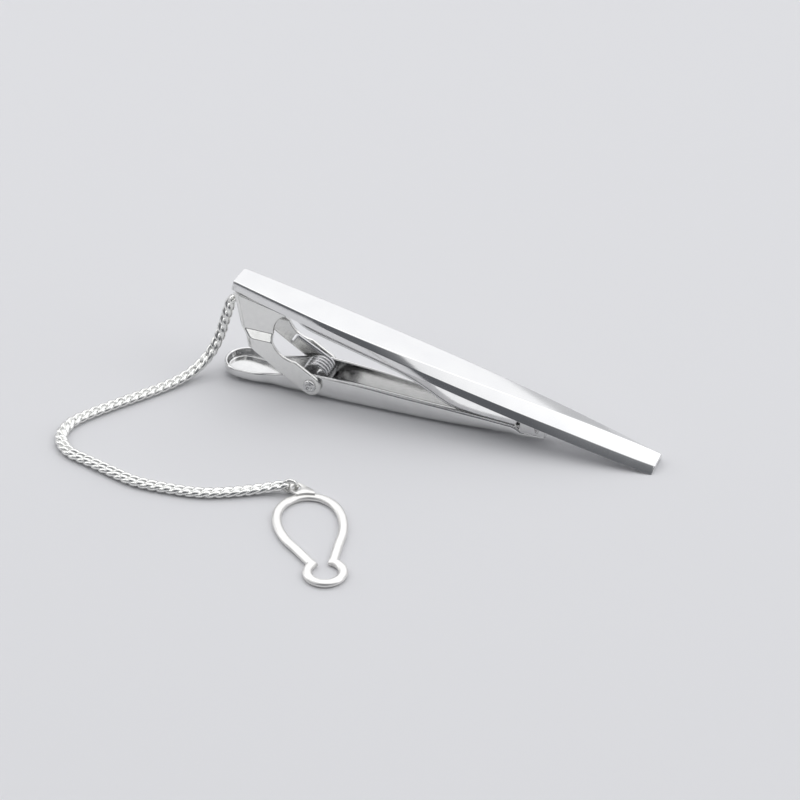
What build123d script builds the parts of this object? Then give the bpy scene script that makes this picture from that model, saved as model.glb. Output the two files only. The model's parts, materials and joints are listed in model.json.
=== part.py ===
from build123d import *
from math import acos, asin, atan2, cos, degrees, hypot, pi, radians, sin, tan
import os

# Tie bar with a sprung lever, a safety chain and a button loop. Millimetres.
# While it is modelled, X = 0 and Y = 0 are the pivot pin's axis and the middle
# plane, +X runs from the thumb end to the tips, and Z = 0 is the table that the
# closed clip lies on. The last step moves the middle of the clip to the origin.

# Face bar: a slim spindle with a ridge that crosses its front on the diagonal.
BAR_LENGTH = 57.0
BAR_HALF_END = 1.85           # half width at both ends
BAR_HALF_MIDDLE = 3.0         # half width at the widest place
BAR_RIDGE_HEIGHT = 1.3        # ridge above the rear face, at the ends
BAR_RIDGE_CROWN = 0.2         # extra height of the ridge at mid length
BAR_FAR_EDGE_THUMB = 1.2      # far edge's height at the thumb end
BAR_FAR_EDGE_TIP = 0.7        # and at the tip
BAR_NEAR_EDGE = 0.8           # height of the near facet's lower line
BAR_FAR_BEVEL = 0.22
BAR_NEAR_SLANT = 0.9          # how far the near side leans in towards the tip
BAR_WIDEST_SHIFT = 1.16       # above 1, the widest place moves towards the tip
BAR_FULLNESS = 0.75           # below 1, the flanks fill out sooner
BAR_RIDGE_NEAR = -0.93        # ridge's place across the bar, in half widths, at the thumb end
BAR_RIDGE_FAR = 0.6           # and at the tip
BAR_RIDGE_LEAVES = 0.2        # share of the length where the ridge leaves the near side
BAR_RIDGE_CURVE = 1.25
BAR_SLANT_START = 0.3         # shares of the length between which the near side leans in
BAR_SLANT_END = 0.8
BAR_STATIONS = 11             # sections of the loft
BAR_STOCK = 0.5               # cut off again to leave the rear face flat

# Pivot, measured from the bar, and the rivet in it.
PIVOT_FROM_THUMB_END = 13.15
PIVOT_DEPTH = 8.13            # below the bar's rear face
PIVOT_HEIGHT = 2.2            # above the table, which the lever's belly touches
PIN_RADIUS = 0.5
PIN_RUNNING_CLEARANCE = 0.04
PIN_HEAD_RADIUS = 0.85
PIN_HEAD_HEIGHT = 0.35
PIN_HEAD_ROUND = 0.2

# Lever: a stamped channel with a spoon-shaped thumb tab and a toothed tip.
LEVER_WALL = 0.45
LEVER_HALF_WIDTH = 2.4        # at the pivot
LEVER_TAPER_START = 3.0
TAB_REACH = 12.8              # from the pivot to the tab's end
TAB_HALF_WIDTH = 2.75
TAB_NECK_START = -8.2
TAB_NECK_END = -5.6
TAB_RISE = 0.5                # underside of the tab's end above the table
TIP_REACH = 30.6              # from the pivot to the toothed tip
TIP_HALF_WIDTH = 1.4
TIP_RISE = 1.0
TIP_BLOCK_LENGTH = 3.1        # solid, pinched end behind the teeth
TOOTH_COUNT = 4
TOOTH_DEPTH = 0.4
TOOTH_LAND = 0.2              # flat in front of the first tooth
TIP_CLEARANCE = 0.05          # between the teeth and the bar when closed
BELLY = (-3.0, 14.0)          # flat stretch of the underside that lies on the table
RIM_TAB = 1.85                # rim height of the thumb tab, above the table
RIM_PIVOT = 3.45              # highest rim, beside the pivot
RIM_LINE = ((-7.0, 1.95), (-3.4, 2.6), (-0.6, 3.35), (2.4, RIM_PIVOT), (7.0, 3.3),
            (12.0, 2.95), (16.0, 2.75), (22.0, 2.4))
RIM_TIP = 2.05

# Bracket: bent sheet, closed round the thumb end, with two ears for the pin.
SHEET = 0.5
EAR_GAP = 0.1                 # between each ear and the lever
EAR_RADIUS = 1.4
COLLAR_HALF_WIDTH = 2.2       # upper part, under the bar
SHOULDER_LOW = 7.3            # the sheet steps outwards between these heights
SHOULDER_HIGH = 8.2
THUMB_WALL_FOOT = -8.0        # thumb-end wall: its place at the table,
THUMB_WALL_LOW = -9.1         # at the shoulder's foot,
THUMB_WALL_HIGH = -9.95       # at the shoulder's top,
THUMB_WALL_TOP = -10.95       # and at the top of the stock
STOCK_TOP = 14.0
SKIRT_CORNER = (-7.8, 5.7)    # lower thumb-end corner of the side walls
NOTCH_CENTRE = (-2.0, 8.3)    # round window between the collar and the ears
NOTCH_RADIUS = 3.2
CORNER_SHARE = 0.5            # bend radius of the thumb wall, as a share of half width

# Grip leaf: a springy strip brazed under the bar, bent down into the lever.
LEAF_THICKNESS = 0.35
LEAF_HALF_WIDTH = 1.2
LEAF_END_HALF_WIDTH = 0.9
LEAF_TAPER_START = 30.0       # along the bar
LEAF_PAD = (6.6, 8.6)         # start and end of its flat foot along the bar
LEAF_LINE = ((10.4, -1.5), (16.5, -1.75), (23.1, -1.95), (26.7, -2.5),
             (28.6, -3.05), (30.4, -3.45), (32.0, -3.5), (34.5, -3.25), (39.0, -2.55))
LEAF_END_SLOPE = 0.16         # its end runs parallel to the lever's rims

# Torsion spring: a coil round the pin, one leg under the tab, one on the ears' side.
WIRE = 0.5
COIL_RADIUS = 1.6
COIL_LIFT = 0.35              # the slack coil rests above the pin's axis
COIL_GAP = 0.065              # between the turns
COIL_LEG_ANGLE = 60.9         # where the upper leg leaves the coil
COIL_WHOLE_TURNS = 4
UPPER_LEG = 4.9
HOOK_LENGTH = 1.7
LOWER_LEG = 4.6
LOWER_LEG_DROP = 0.05

# Wire eye on the thumb wall and the jump ring in it.
EYE_RADIUS = 0.8
EYE_WIRE = 0.4
EYE_BELOW_BAR = 1.85          # below the bar's thumb end
RING_RADIUS = 0.7
RING_WIRE = 0.35
RING_PLAY = 0.05
HANG_ANGLE = 225.0            # the ring hangs down and outwards from the eye

# Safety chain: a limp cord from the jump ring to the button loop. The first
# point is the ring's side; the rest are places on and above the table.
CHAIN_WIDTH = 1.5
CHAIN_ROUTE = (
    (-12.6, -0.1, 7.7), (-13.3, -0.4, 4.9), (-14.3, -1.6, 2.4), (-15.6, -4.0, 1.0),
    (-17.3, -7.0, 0.76), (-19.5, -10.3, 0.75), (-21.7, -13.4, 0.75), (-23.8, -16.5, 0.75),
    (-25.3, -19.3, 0.75), (-25.1, -22.4, 0.75), (-22.9, -24.8, 0.75), (-19.6, -25.5, 0.75),
    (-16.1, -26.4, 0.75), (-12.4, -27.3, 0.75), (-8.2, -27.0, 0.75), (-4.1, -26.4, 0.75),
    (-0.4, -24.6, 0.75), (2.9, -22.6, 0.78))
CHAIN_END_GAP = 0.1
SMALLEST_BEND = 3 * CHAIN_WIDTH

# Button loop: a flat keyhole, lying on the table with its tab towards the chain.
LOOP_TOP = (7.45, -22.3)       # middle of the strip at the round end
LOOP_ANGLE = -56.2            # direction from the round end to the bulb
LOOP_STRIP = 1.15
LOOP_THICKNESS = 0.7
LOOP_SIDE = ((0.27, 1.27), (1.05, 2.49), (2.46, 3.46), (4.28, 3.86), (6.2, 3.78),
             (8.2, 3.3), (10.0, 2.5))
LOOP_CUSP = (13.15, 1.25)
LOOP_BULB_END = 16.95
LOOP_NECK_HALF = 0.75         # half of the passage between the egg and the bulb
LOOP_SAMPLES = 12             # steps along the side when it is moved in or out
TAB_RADIUS = 1.0
TAB_HOLE_RADIUS = 0.55
TAB_PLACE = (-1.35, -0.5)     # its hole, along the loop's axis and across
TAB_BOTTOM = 0.55
TAB_THICKNESS = 0.4
END_RING_RADIUS = 0.8
END_RING_WIRE = 0.5

COIL_PITCH = WIRE + COIL_GAP
EAR_INNER = LEVER_HALF_WIDTH + EAR_GAP
EAR_OUTER = EAR_INNER + SHEET


def polar(radius, angle):
    return radius * cos(radians(angle)), radius * sin(radians(angle))


def side_prism(face, half_depth):
    """A face drawn in X and Z, thickened to both sides of the middle plane."""
    return extrude(Plane.XZ * face, half_depth, both=True)


def cross_pin(radius, half_length):
    """A cylinder on the pivot axis."""
    return Pos(0, 0, PIVOT_HEIGHT) * Rot(90, 0, 0) * Cylinder(radius, 2 * half_length)


def bar_placement():
    """The closed clip rests on the bar's tip and the lever's belly."""
    reach = hypot(BAR_LENGTH - PIVOT_FROM_THUMB_END, PIVOT_DEPTH)
    tilt = atan2(PIVOT_DEPTH, BAR_LENGTH - PIVOT_FROM_THUMB_END) + asin(PIVOT_HEIGHT / reach)
    x = PIVOT_DEPTH * sin(tilt) - PIVOT_FROM_THUMB_END * cos(tilt)
    z = PIVOT_HEIGHT + PIVOT_DEPTH * cos(tilt) + PIVOT_FROM_THUMB_END * sin(tilt)
    return Location((x, 0, z), (0, degrees(tilt), 0)), tilt, x, z


ON_BAR, TILT, BAR_X, BAR_Z = bar_placement()
EYE_HEIGHT = BAR_Z - EYE_BELOW_BAR


def bar_half_width(t):
    swell = sin(pi * t ** BAR_WIDEST_SHIFT) ** BAR_FULLNESS
    return BAR_HALF_END + (BAR_HALF_MIDDLE - BAR_HALF_END) * swell


def bar_section(t):
    """Six corners of the bar's section at a share t of its length."""
    half = bar_half_width(t)
    along_ridge = max(0.0, t - BAR_RIDGE_LEAVES) / (1 - BAR_RIDGE_LEAVES)
    across = BAR_RIDGE_NEAR + (BAR_RIDGE_FAR - BAR_RIDGE_NEAR) * along_ridge ** BAR_RIDGE_CURVE
    ridge_side = half * across
    ridge = BAR_RIDGE_HEIGHT + BAR_RIDGE_CROWN * sin(pi * t)
    far_edge = BAR_FAR_EDGE_THUMB + (BAR_FAR_EDGE_TIP - BAR_FAR_EDGE_THUMB) * t ** 2
    lean = (t - BAR_SLANT_START) / (BAR_SLANT_END - BAR_SLANT_START)
    slant = BAR_NEAR_SLANT * min(1.0, max(0.0, lean))
    slant = min(slant, half - BAR_HALF_END / 2)
    corners = ((half, -BAR_STOCK), (half, far_edge - BAR_FAR_BEVEL), (half - BAR_FAR_BEVEL, far_edge),
               (ridge_side, ridge), (slant - half, BAR_NEAR_EDGE), (-half, 0), (-half, -BAR_STOCK))
    x = t * BAR_LENGTH
    return Face(Wire.make_polygon([(x, y, z) for y, z in corners], close=True))


def below_bar():
    """Everything under the plane of the bar's rear face."""
    size = 3 * BAR_LENGTH
    return Box(size, size, size, align=(Align.CENTER, Align.CENTER, Align.MAX))


def make_face_bar():
    shares = [sin(pi / 2 * i / (BAR_STATIONS - 1)) ** 2 for i in range(BAR_STATIONS)]
    return ON_BAR * (loft([bar_section(t) for t in shares]) - below_bar())


def sheet_stock(inset, open_end):
    """The bracket's plan at its four heights, lofted into one block."""
    levels = ((0.0, THUMB_WALL_FOOT, EAR_OUTER), (SHOULDER_LOW, THUMB_WALL_LOW, EAR_OUTER),
              (SHOULDER_HIGH, THUMB_WALL_HIGH, COLLAR_HALF_WIDTH),
              (STOCK_TOP, THUMB_WALL_TOP, COLLAR_HALF_WIDTH))
    plans = []
    for z, x_end, half in levels:
        half -= inset
        plan = Rectangle(open_end - x_end - inset, 2 * half, align=(Align.MIN, Align.CENTER))
        plan = fillet(plan.vertices().group_by(Axis.X)[0], CORNER_SHARE * half)
        plans.append(Pos(x_end + inset, 0, z) * plan)
    slabs = [loft([low, high], ruled=True) for low, high in zip(plans, plans[1:])]
    return slabs[0] + slabs[1] + slabs[2]


def tangent_point(point, centre, radius, turn):
    """Where a line from the point touches the circle; turn is +1 or -1."""
    dx, dz = point[0] - centre[0], point[1] - centre[1]
    angle = degrees(atan2(dz, dx)) + turn * degrees(acos(radius / hypot(dx, dz)))
    x, z = polar(radius, angle)
    return centre[0] + x, centre[1] + z


def bracket_side():
    """Side view of the bracket: wall, round window, arms and ears."""
    pivot = (0, PIVOT_HEIGHT)
    window_foot = (NOTCH_CENTRE[0], NOTCH_CENTRE[1] - NOTCH_RADIUS)
    top = tangent_point(window_foot, pivot, EAR_RADIUS, -1)
    low = tangent_point(SKIRT_CORNER, pivot, EAR_RADIUS, 1)
    outside = THUMB_WALL_TOP - 2
    outline = [
        Polyline(low, SKIRT_CORNER, (outside, SKIRT_CORNER[1]), (outside, STOCK_TOP),
                 (NOTCH_CENTRE[0], STOCK_TOP), window_foot, top),
        ThreePointArc(top, (EAR_RADIUS, PIVOT_HEIGHT), low)]
    return make_face(outline) - Pos(*NOTCH_CENTRE) * Circle(NOTCH_RADIUS)


def above_bar():
    """Everything on the bar's side of its rear face."""
    size = 3 * BAR_LENGTH
    return ON_BAR * Box(size, size, size, align=(Align.CENTER, Align.CENTER, Align.MIN))


def make_bracket():
    shell = sheet_stock(0, 2 * EAR_RADIUS) - sheet_stock(SHEET, 3 * EAR_RADIUS)
    shell = shell & side_prism(bracket_side(), 2 * EAR_OUTER)
    return shell - above_bar() - cross_pin(PIN_RADIUS, 2 * EAR_OUTER)


def make_grip_leaf():
    start, end = LEAF_PAD
    lower = [(end, -LEAF_THICKNESS)] + [(x, z) for x, z in LEAF_LINE]
    upper = [(x, z + LEAF_THICKNESS) for x, z in lower]
    under = Spline(*lower, tangents=((1, -0.1), (1, LEAF_END_SLOPE)))
    over = Spline(*upper, tangents=((1, -0.1), (1, LEAF_END_SLOPE)))
    outline = [under, over, Line(under @ 1, over @ 1),
               Polyline(over @ 0, (start, 0), (start, -LEAF_THICKNESS), under @ 0)]
    strip = side_prism(make_face(outline), LEAF_HALF_WIDTH)
    tip = LEAF_LINE[-1][0] + 1
    plan = make_face(Polyline(
        (start - 1, -LEAF_HALF_WIDTH), (LEAF_TAPER_START, -LEAF_HALF_WIDTH), (tip, -LEAF_END_HALF_WIDTH),
        (tip, LEAF_END_HALF_WIDTH), (LEAF_TAPER_START, LEAF_HALF_WIDTH), (start - 1, LEAF_HALF_WIDTH),
        close=True))
    return ON_BAR * (strip & extrude(plan, 2 * LEAF_LINE[0][0], both=True))


def lever_plan(inset, tip):
    """Half outline of the lever from above, mirrored into a face."""
    tab = TAB_HALF_WIDTH - inset
    tab_centre = TAB_HALF_WIDTH - TAB_REACH
    middle = LEVER_HALF_WIDTH - inset
    taper = (TIP_HALF_WIDTH - LEVER_HALF_WIDTH) / (TIP_REACH - LEVER_TAPER_START)
    tip_half = middle + taper * (tip - LEVER_TAPER_START)
    arc_middle = polar(tab, 135)
    side = [
        ThreePointArc((tab_centre - tab, 0), (tab_centre + arc_middle[0], arc_middle[1]),
                      (tab_centre, tab)),
        Line((tab_centre, tab), (TAB_NECK_START, tab)),
        Spline((TAB_NECK_START, tab), (TAB_NECK_END, middle), tangents=((1, 0), (1, 0))),
        Polyline((TAB_NECK_END, middle), (LEVER_TAPER_START, middle), (tip, tip_half), (tip, 0))]
    return make_face(side + [mirror(edge, Plane.XZ) for edge in side])


def lever_floor(lift):
    """The underside in side view, raised by lift, with sky above it."""
    sky = 3 * RIM_PIVOT
    rear, front = BELLY
    foot = Spline((rear, lift), (-TAB_REACH - 1, TAB_RISE + lift), tangents=((-1, 0), (-1, 0.08)))
    toe = Spline((front, lift), (TIP_REACH + 1, TIP_RISE + lift), tangents=((1, 0), (1, 0.13)))
    return make_face([foot, Line((rear, lift), (front, lift)), toe,
                      Polyline(toe @ 1, (TIP_REACH + 1, sky), (-TAB_REACH - 1, sky), foot @ 1)])


def rear_face_height(x):
    return BAR_Z - (x - BAR_X) * tan(TILT)


def rim_cut():
    """What is trimmed off above the lever's rims and between its teeth."""
    block_start = TIP_REACH - TIP_BLOCK_LENGTH
    rims = Spline((-TAB_REACH - 1, RIM_TAB), *RIM_LINE, (block_start, RIM_TIP))
    teeth = [rims @ 1]
    pitch = (TIP_BLOCK_LENGTH - TOOTH_LAND) / TOOTH_COUNT
    for i in range(TOOTH_COUNT):
        root = block_start + TOOTH_LAND + i * pitch
        peak = root + pitch / 2
        teeth.append((root, rear_face_height(root) - TIP_CLEARANCE - TOOTH_DEPTH))
        teeth.append((peak, rear_face_height(peak) - TIP_CLEARANCE))
    end = TIP_REACH + 1
    teeth.append((end, rear_face_height(end) - TIP_CLEARANCE - TOOTH_DEPTH))
    sky = 4 * RIM_PIVOT
    return make_face([rims, Polyline(*teeth, (end, sky), (-TAB_REACH - 1, sky), rims @ 0)])


def make_lever():
    width = 2 * TAB_HALF_WIDTH
    cavity = extrude(lever_plan(LEVER_WALL, TIP_REACH - TIP_BLOCK_LENGTH), 4 * RIM_PIVOT)
    body = extrude(lever_plan(0, TIP_REACH), 2 * RIM_PIVOT)
    body = body & side_prism(lever_floor(0), width)
    body = body - (cavity & side_prism(lever_floor(LEVER_WALL), width))
    body = body - side_prism(rim_cut(), width)
    return body - cross_pin(PIN_RADIUS + PIN_RUNNING_CLEARANCE, width)


def make_pivot_pin():
    pin = cross_pin(PIN_RADIUS, EAR_OUTER)
    head = extrude(Circle(PIN_HEAD_RADIUS), PIN_HEAD_HEIGHT)
    head = fillet(head.faces().sort_by(Axis.Z)[-1].edges(), PIN_HEAD_ROUND)
    near = Pos(0, -EAR_OUTER, PIVOT_HEIGHT) * Rot(90, 0, 0) * head
    far = Pos(0, EAR_OUTER, PIVOT_HEIGHT) * Rot(-90, 0, 0) * head
    return pin + near + far


def wire_leg(points):
    """Round wire along straight runs, with a ball at every point."""
    leg = Pos(*points[0]) * Sphere(WIRE / 2)
    for start, end in zip(points, points[1:]):
        run = Vector(*end) - Vector(*start)
        leg += Plane(origin=start, z_dir=run) * Cylinder(
            WIRE / 2, run.length, align=(Align.CENTER, Align.CENTER, Align.MIN))
        leg += Pos(*end) * Sphere(WIRE / 2)
    return leg


def make_torsion_spring():
    turns = COIL_WHOLE_TURNS + (90 + COIL_LEG_ANGLE) / 360
    height = turns * COIL_PITCH
    coil_path = Helix(COIL_PITCH, height, COIL_RADIUS, lefthand=True)
    section = Plane(origin=coil_path @ 0, z_dir=coil_path % 0) * Circle(WIRE / 2)
    coil = sweep(section, path=coil_path, is_frenet=True)
    centre_z = PIVOT_HEIGHT + COIL_LIFT
    coil = Pos(0, -height / 2, centre_z) * Rot(0, 90, 0) * Rot(-90, 0, 0) * coil
    bottom = (0, -height / 2, centre_z - COIL_RADIUS)
    heel = (-LOWER_LEG, -height / 2, centre_z - COIL_RADIUS - LOWER_LEG_DROP)
    leave_x, leave_z = polar(COIL_RADIUS, COIL_LEG_ANGLE)
    leave = (leave_x, height / 2, centre_z + leave_z)
    along_x, along_z = polar(UPPER_LEG, COIL_LEG_ANGLE + 90)
    hook = (leave[0] + along_x, leave[1], leave[2] + along_z)
    hook_end = (hook[0], hook[1] - HOOK_LENGTH, hook[2])
    return coil + wire_leg((heel, bottom)) + wire_leg((leave, hook, hook_end))


def thumb_wall_x(z):
    """The collar's outer face at a height above the shoulder."""
    share = (z - SHOULDER_HIGH) / (STOCK_TOP - SHOULDER_HIGH)
    return THUMB_WALL_HIGH + share * (THUMB_WALL_TOP - THUMB_WALL_HIGH)


def make_anchor_eye():
    eye = Pos(thumb_wall_x(EYE_HEIGHT), 0, EYE_HEIGHT) * Rot(90, 0, 0) * Torus(EYE_RADIUS, EYE_WIRE / 2)
    return eye - sheet_stock(0, 0)


def anchor_ring_centre():
    eye_x, eye_z = polar(EYE_RADIUS, HANG_ANGLE)
    play = RING_RADIUS - EYE_WIRE / 2 - RING_WIRE / 2 - RING_PLAY
    x, z = polar(play, HANG_ANGLE)
    return Vector(thumb_wall_x(EYE_HEIGHT) + eye_x + x, 0, EYE_HEIGHT + eye_z + z)


def make_anchor_ring():
    return Pos(*anchor_ring_centre()) * Rot(0, -HANG_ANGLE, 0) * Torus(RING_RADIUS, RING_WIRE / 2)


def loop_place(along, side=0.0, z=0.0):
    """A point of the button loop: along its axis from the round end, and across."""
    cos_a, sin_a = polar(1, LOOP_ANGLE)
    return Vector(LOOP_TOP[0] + along * cos_a - side * sin_a,
                  LOOP_TOP[1] + along * sin_a + side * cos_a, z)


def on_loop(shape):
    return Pos(*LOOP_TOP, 0) * Rot(0, 0, LOOP_ANGLE) * shape


def loop_outline(outward):
    """The loop's filled outline, moved outwards from the middle of its strip."""
    middle = Spline((0, 0), *LOOP_SIDE, LOOP_CUSP, tangents=((0, 1), (0.75, -0.66)))
    places = []
    for i in range(LOOP_SAMPLES + 1):
        along = middle % (i / LOOP_SAMPLES)
        places.append(middle @ (i / LOOP_SAMPLES) + Vector(-along.Y, along.X) * outward)
    side = Spline(*places, tangents=((0, 1), (0.75, -0.66)))
    end = side @ 1
    egg = make_face([side, Line(end, (end.X, -end.Y)), mirror(side, Plane.XZ)])
    cusp_x, cusp_y = LOOP_CUSP
    bulb_centre = (LOOP_BULB_END ** 2 - cusp_x ** 2 - cusp_y ** 2) / (2 * (LOOP_BULB_END - cusp_x))
    bulb = Pos(bulb_centre, 0) * Circle(LOOP_BULB_END - bulb_centre + outward)
    neck = Pos((end.X + bulb_centre) / 2, 0) * Rectangle(bulb_centre - end.X, 2 * LOOP_NECK_HALF)
    return egg + neck + bulb


def make_button_loop():
    strip = loop_outline(LOOP_STRIP / 2) - loop_outline(-LOOP_STRIP / 2)
    return on_loop(extrude(strip, LOOP_THICKNESS))


def make_loop_tab(button_loop):
    root = Pos(0, -TAB_PLACE[1]) * Circle(TAB_RADIUS)
    plate = make_hull([*(Pos(*TAB_PLACE) * Circle(TAB_RADIUS)).edges(), *root.edges()])
    plate = plate - loop_outline(0) - Pos(*TAB_PLACE) * Circle(TAB_HOLE_RADIUS)
    tab = on_loop(Pos(0, 0, TAB_BOTTOM) * extrude(plate, TAB_THICKNESS))
    return (tab - button_loop).solids().sort_by(SortBy.VOLUME)[-1]


def end_ring_frame():
    """Centre of the end ring, and the flat direction from it to the tab's hole."""
    hole = loop_place(*TAB_PLACE)
    last = Vector(*CHAIN_ROUTE[-1])
    heading = Vector(hole.X - last.X, hole.Y - last.Y, 0).normalized()
    height = END_RING_RADIUS + END_RING_WIRE / 2
    drop = height - TAB_BOTTOM - TAB_THICKNESS / 2
    reach = (END_RING_RADIUS ** 2 - drop ** 2) ** 0.5
    return Vector(hole.X, hole.Y, height) - heading * reach, heading


def make_end_ring():
    centre, heading = end_ring_frame()
    across = heading.cross(Vector(0, 0, 1))
    return Plane(origin=centre, z_dir=across) * Torus(END_RING_RADIUS, END_RING_WIRE / 2)


def chain_points():
    """The route from the anchor ring's outer side to the end ring's."""
    out_x, out_z = polar(RING_RADIUS + RING_WIRE / 2 + CHAIN_END_GAP, HANG_ANGLE)
    start = anchor_ring_centre() + Vector(out_x, 0, out_z)
    centre, heading = end_ring_frame()
    finish = centre - heading * (END_RING_RADIUS + END_RING_WIRE / 2 + CHAIN_END_GAP)
    return [start] + [Vector(*p) for p in CHAIN_ROUTE] + [finish]


def bend_radii(points):
    """One radius for each corner: as large as its two runs allow."""
    radii = []
    for before, here, after in zip(points, points[1:], points[2:]):
        run_in, run_out = here - before, after - here
        half_turn = radians(run_in.get_angle(run_out)) / 2
        radii.append(0.45 * min(run_in.length, run_out.length) / tan(half_turn))
    return radii


def make_safety_chain():
    points = chain_points()
    radii = bend_radii(points)
    path = FilletPolyline(*points, radius=radii)
    start = Plane(origin=path @ 0, z_dir=path % 0)
    tube = sweep(start * Circle(CHAIN_WIDTH / 2), path=path)
    print("chain bend radii", [round(r, 1) for r in radii], "smallest wanted", SMALLEST_BEND)
    print("chain length", round(path.length, 2), "volume", round(tube.volume, 3),
          "section x length", round(pi * CHAIN_WIDTH ** 2 / 4 * path.length, 3))
    return tube


def build():
    clip = {
        "face_bar": make_face_bar(), "bracket": make_bracket(), "grip_leaf": make_grip_leaf(),
        "lever": make_lever(), "pivot_pin": make_pivot_pin(),
        "torsion_spring": make_torsion_spring(), "anchor_eye": make_anchor_eye(),
        "anchor_ring": make_anchor_ring()}
    button_loop = make_button_loop()
    tether = {
        "safety_chain": make_safety_chain(), "end_ring": make_end_ring(),
        "loop_tab": make_loop_tab(button_loop), "button_loop": button_loop}
    boxes = [shape.bounding_box() for shape in clip.values()]
    low = [min(tuple(b.min)[axis] for b in boxes) for axis in range(3)]
    high = [max(tuple(b.max)[axis] for b in boxes) for axis in range(3)]
    middle = Pos(-(low[0] + high[0]) / 2, -(low[1] + high[1]) / 2, -low[2])
    print("tilt", round(degrees(TILT), 3), "shift", middle.position)
    os.makedirs("parts", exist_ok=True)
    for name, shape in {**clip, **tether}.items():
        export_step(middle * shape, f"parts/{name}.step")


build()
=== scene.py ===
import json
from math import asin, atan2, cos, hypot, pi, radians, sin, tan
import bmesh
import bpy
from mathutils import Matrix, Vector

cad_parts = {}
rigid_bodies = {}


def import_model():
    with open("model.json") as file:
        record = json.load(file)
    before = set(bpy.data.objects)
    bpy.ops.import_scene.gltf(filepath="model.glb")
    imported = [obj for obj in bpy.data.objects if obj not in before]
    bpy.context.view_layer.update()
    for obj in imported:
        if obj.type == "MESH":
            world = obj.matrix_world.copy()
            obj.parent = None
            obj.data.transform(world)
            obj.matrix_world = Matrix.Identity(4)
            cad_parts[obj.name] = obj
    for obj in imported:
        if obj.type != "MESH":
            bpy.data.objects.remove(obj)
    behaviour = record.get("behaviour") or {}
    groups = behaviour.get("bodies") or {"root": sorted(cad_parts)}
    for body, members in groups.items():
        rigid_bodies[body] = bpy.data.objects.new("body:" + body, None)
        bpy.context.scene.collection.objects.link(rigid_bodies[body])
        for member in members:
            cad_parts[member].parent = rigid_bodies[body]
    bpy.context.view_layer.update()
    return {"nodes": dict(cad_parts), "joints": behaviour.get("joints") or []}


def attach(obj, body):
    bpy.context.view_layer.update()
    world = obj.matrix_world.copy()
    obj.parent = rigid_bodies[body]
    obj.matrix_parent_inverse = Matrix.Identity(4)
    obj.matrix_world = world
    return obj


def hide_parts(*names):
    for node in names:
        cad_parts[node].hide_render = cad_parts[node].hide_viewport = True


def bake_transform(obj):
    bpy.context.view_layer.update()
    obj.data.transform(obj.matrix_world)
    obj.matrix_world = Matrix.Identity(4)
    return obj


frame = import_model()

# Tie bar with a sprung toothed lever, a curb chain and a button loop.
# Sizes are millimetres from the point of the table under the pivot pin:
# +X runs along the bar to its tip, -Y is the side that the button loop lies on.
hinge = frame["joints"][0]
pivot = Vector(hinge["pos_m"])
barSide, leverSide = hinge["child"], hinge["parent"]
pivotHeight = pivot.z * 1000


def place(x, y, z):
    return Vector((pivot.x + x / 1000, y / 1000, z / 1000))


def polar(radius, degrees):
    return radius * cos(radians(degrees)), radius * sin(radians(degrees))


print("camera")
cameraSet = {
    "eye": (134.2, -302.05, 229.43),
    "lookAt": (10.4, 1.33, 0.0),
    "lens": 144.0,
}
cameraData = bpy.data.cameras.new("studioCamera")
camera = bpy.data.objects.new("studioCamera", cameraData)
bpy.context.scene.collection.objects.link(camera)
bpy.context.scene.camera = camera
cameraData.lens = cameraSet["lens"]
cameraData.clip_start = 0.01
camera.location = place(*cameraSet["eye"])
camera.rotation_mode = "QUATERNION"
sight = place(*cameraSet["lookAt"]) - camera.location
camera.rotation_quaternion = sight.to_track_quat("-Z", "Y")

print("chain line")
chainSet = {
    # control points from the jump ring to the end ring; "lands" counts to the one
    # where the chain meets the table
    "route": [
        (-11.932, 0.0, 9.844),
        (-12.6, -0.1, 7.7), (-13.3, -0.4, 4.9), (-14.3, -1.6, 2.4), (-15.6, -4.0, 0.9),
        (-17.3, -7.0, 0.5), (-19.5, -10.3, 0.5), (-21.7, -13.4, 0.5), (-23.8, -16.5, 0.5),
        (-25.3, -19.3, 0.5), (-25.1, -22.4, 0.5), (-22.9, -24.8, 0.5), (-19.6, -25.5, 0.5),
        (-16.1, -26.4, 0.5), (-12.4, -27.3, 0.5), (-8.2, -27.0, 0.5), (-4.1, -26.4, 0.5),
        (-0.4, -24.6, 0.5), (2.9, -22.6, 0.65),
        (4.487, -22.065, 1.05),
    ],
    "lands": 4, "routeSteps": 24,
    "bore": 1.5,  # the plain round cord that the links stand for
    "width": 1.66, "wire": 0.68, "pitch": 1.18, "twist": 36.0,
    "startPlay": 0.025, "endPlay": 0.1, "linkSteps": 32, "wireSteps": 10,
}


def splinePoints(controls, resolution):
    # points read from a NURBS curve with these control points
    curve = bpy.data.curves.new("route", "CURVE")
    curve.dimensions = "3D"
    spline = curve.splines.new("NURBS")
    spline.points.add(len(controls) - 1)
    for point, control in zip(spline.points, controls):
        point.co = (*control, 1)
    spline.order_u = 3
    spline.use_endpoint_u = True
    spline.resolution_u = resolution
    carrier = bpy.data.objects.new("route", curve)
    mesh = bpy.data.meshes.new_from_object(carrier)
    points = [v.co.copy() for v in mesh.vertices]
    bpy.data.objects.remove(carrier)
    bpy.data.curves.remove(curve)
    bpy.data.meshes.remove(mesh)
    return points


chainLine = splinePoints([place(*p) for p in chainSet["route"]], chainSet["routeSteps"])


def hexColour(text):
    channels = [int(text[i:i + 2], 16) / 255 for i in (1, 3, 5)]
    return (*[c / 12.92 if c <= 0.04045 else ((c + 0.055) / 1.055) ** 2.4 for c in channels], 1)


def addNode(tree, kind, settings=None, links=None):
    node = tree.nodes.new(kind)
    for name, value in (settings or {}).items():
        if name in node.inputs:
            node.inputs[name].default_value = value
        else:
            setattr(node, name, value)
    for name, source in (links or {}).items():
        tree.links.new(source, node.inputs[name])
    return node


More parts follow.
